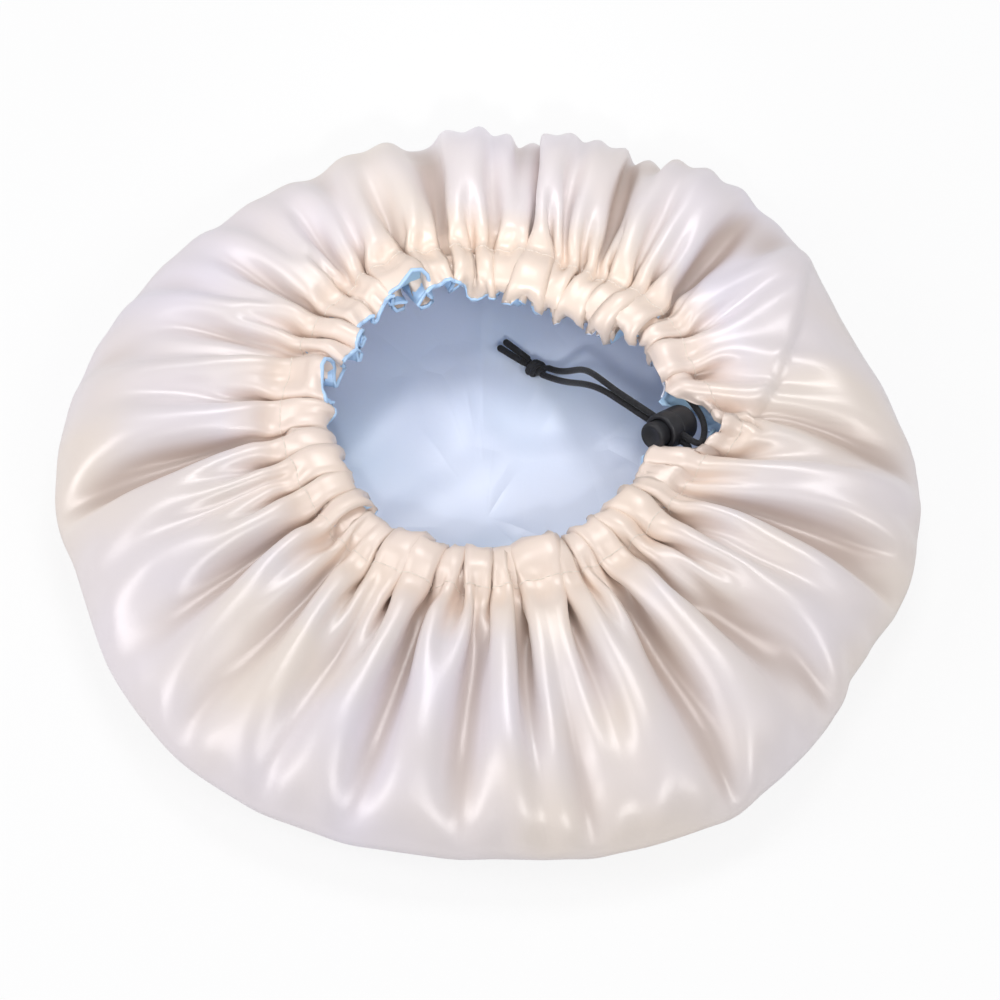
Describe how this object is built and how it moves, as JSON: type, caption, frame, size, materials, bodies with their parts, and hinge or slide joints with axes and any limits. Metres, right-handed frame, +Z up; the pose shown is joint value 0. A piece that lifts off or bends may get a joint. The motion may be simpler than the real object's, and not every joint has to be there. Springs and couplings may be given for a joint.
{
  "type": "drawstring hair bonnet",
  "caption": "Reversible double-layer satin hair bonnet, gathered on an elastic drawcord with a spring cord lock, lying crown down with its opening up.",
  "frame": {"origin": "on the crown's flat underside, in the middle of the outline", "axes": "+Z up, out of the opening; +Y to the back, where the opening sits off centre; +X towards the cord lock"},
  "size_m": [0.3306, 0.3299, 0.0576],
  "materials": {
    "outer_satin": "champagne polyester satin, glossy float face out",
    "lining_satin": "light blue polyester satin, glossy float face in",
    "sewing_thread": "cream polyester sewing thread",
    "elastic_cord": "black braided sheath over a rubber core",
    "lock_plastic": "black moulded acetal, satin surface",
    "spring_steel": "bright music wire"
  },
  "bodies": {
    "bonnet": {"outer_satin_shell": "outer_satin", "satin_lining": "lining_satin", "casing_stitching": "sewing_thread", "edge_seam_stitching": "sewing_thread", "drawcord": "elastic_cord", "back_cord_tail": "elastic_cord", "front_cord_tail": "elastic_cord", "knot": "elastic_cord", "back_cord_end": "elastic_cord", "front_cord_end": "elastic_cord"},
    "cord_lock": {"cord_lock_barrel": "lock_plastic", "spring": "spring_steel"},
    "plunger": {"plunger": "lock_plastic"}
  },
  "joints": [
    {"name": "lock_slide", "type": "slide", "parent": "bonnet", "child": "cord_lock", "axis": [-0.7403, 0.6666, -0.0872], "range_m": [0, 0.02]},
    {"name": "plunger_press", "type": "slide", "parent": "cord_lock", "child": "plunger", "axis": [0.6338, 0.6489, -0.421], "range_m": [0, 0.0028], "stiffness_N_per_m": 600, "springref_m": -0.003, "deforming": ["spring"]}
  ]
}
